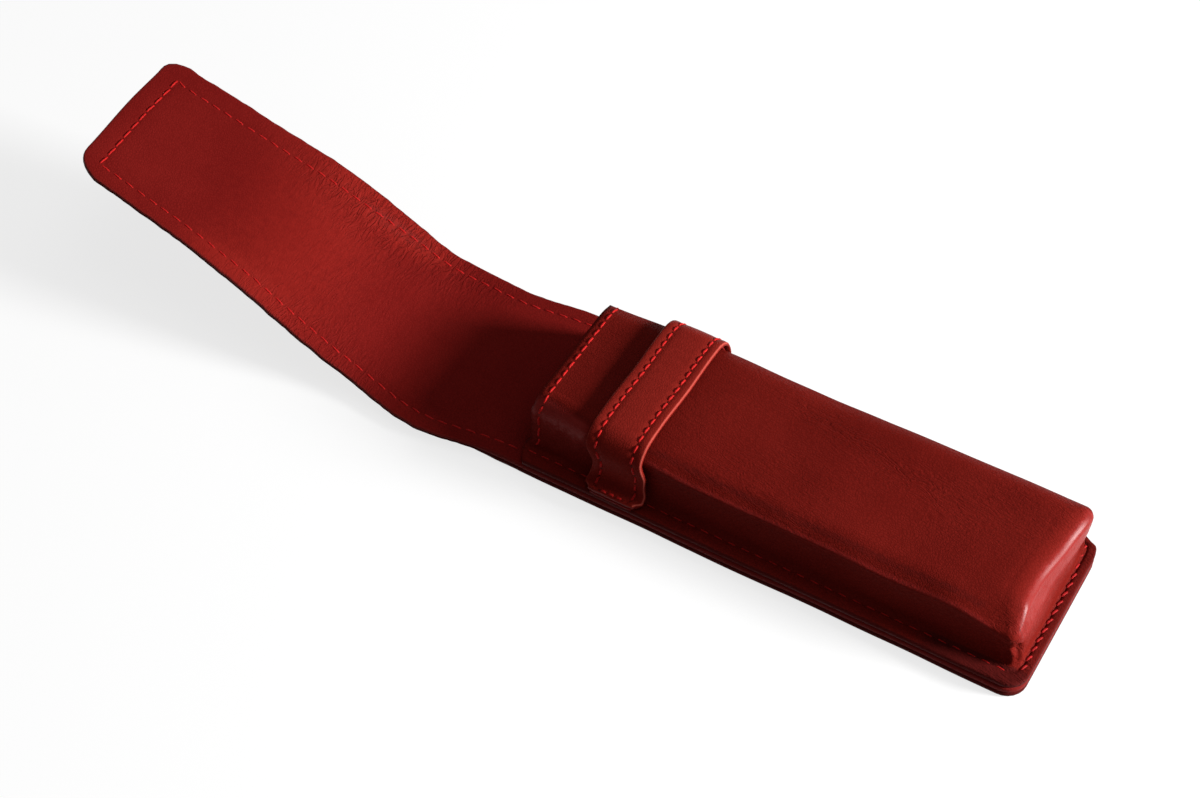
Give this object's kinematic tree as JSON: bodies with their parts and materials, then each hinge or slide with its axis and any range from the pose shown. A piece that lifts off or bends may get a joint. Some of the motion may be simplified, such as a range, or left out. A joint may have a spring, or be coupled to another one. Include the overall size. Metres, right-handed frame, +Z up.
{
  "type": "pen case",
  "caption": "Slim box-form leather pen case with a moulded front, partitioned pocket, keeper strap across the front and a long folding flap, shown lying open.",
  "frame": {"origin": "centre of the back panel's flat underside, on the surface that the case lies on", "axes": "+X along the case towards its closed bottom end, so the flap opens towards -X; +Y across the case towards its far side in the picture; +Z up, out of the moulded front"},
  "size_m": [0.2541, 0.05, 0.0362],
  "materials": {
    "outer_leather": "fine-grained dyed leather, satin, with darker rubbed edges",
    "lining_leather": "fine-grained dyed lining leather, satin",
    "pocket_lining": "thin matte lining leather",
    "sewing_thread": "twisted waxed sewing thread",
    "stiffener_board": "plain stiff board, hidden"
  },
  "bodies": {
    "case": {"back_outer": "outer_leather", "back_board": "stiffener_board", "back_lining": "lining_leather", "front_shell": "outer_leather", "front_lining": "pocket_lining", "divider_near": "pocket_lining", "divider_far": "pocket_lining", "keeper_outer": "outer_leather", "keeper_lining": "lining_leather", "side_seam_thread_near": "sewing_thread", "side_seam_thread_far": "sewing_thread", "end_seam_thread": "sewing_thread", "mouth_thread": "sewing_thread", "keeper_thread_mouth": "sewing_thread", "keeper_thread_end": "sewing_thread", "keeper_tack_near": "sewing_thread", "keeper_tack_far": "sewing_thread"},
    "bridge": {"bridge_outer": "outer_leather", "bridge_lining": "lining_leather", "bridge_thread_near": "sewing_thread", "bridge_thread_far": "sewing_thread"},
    "tongue": {"tongue_outer": "outer_leather", "tongue_board": "stiffener_board", "tongue_lining": "lining_leather", "tongue_thread": "sewing_thread"}
  },
  "joints": [
    {"name": "fold_lower", "type": "hinge", "parent": "case", "child": "bridge", "pos_m": [-0.081, 0, 0.0031], "axis": [0, 1, 0], "range_deg": [-19, 66]},
    {"name": "fold_upper", "type": "hinge", "parent": "bridge", "child": "tongue", "pos_m": [-0.09817, 0, 0.01075], "axis": [0, 1, 0], "range_deg": [0, 95]}
  ]
}
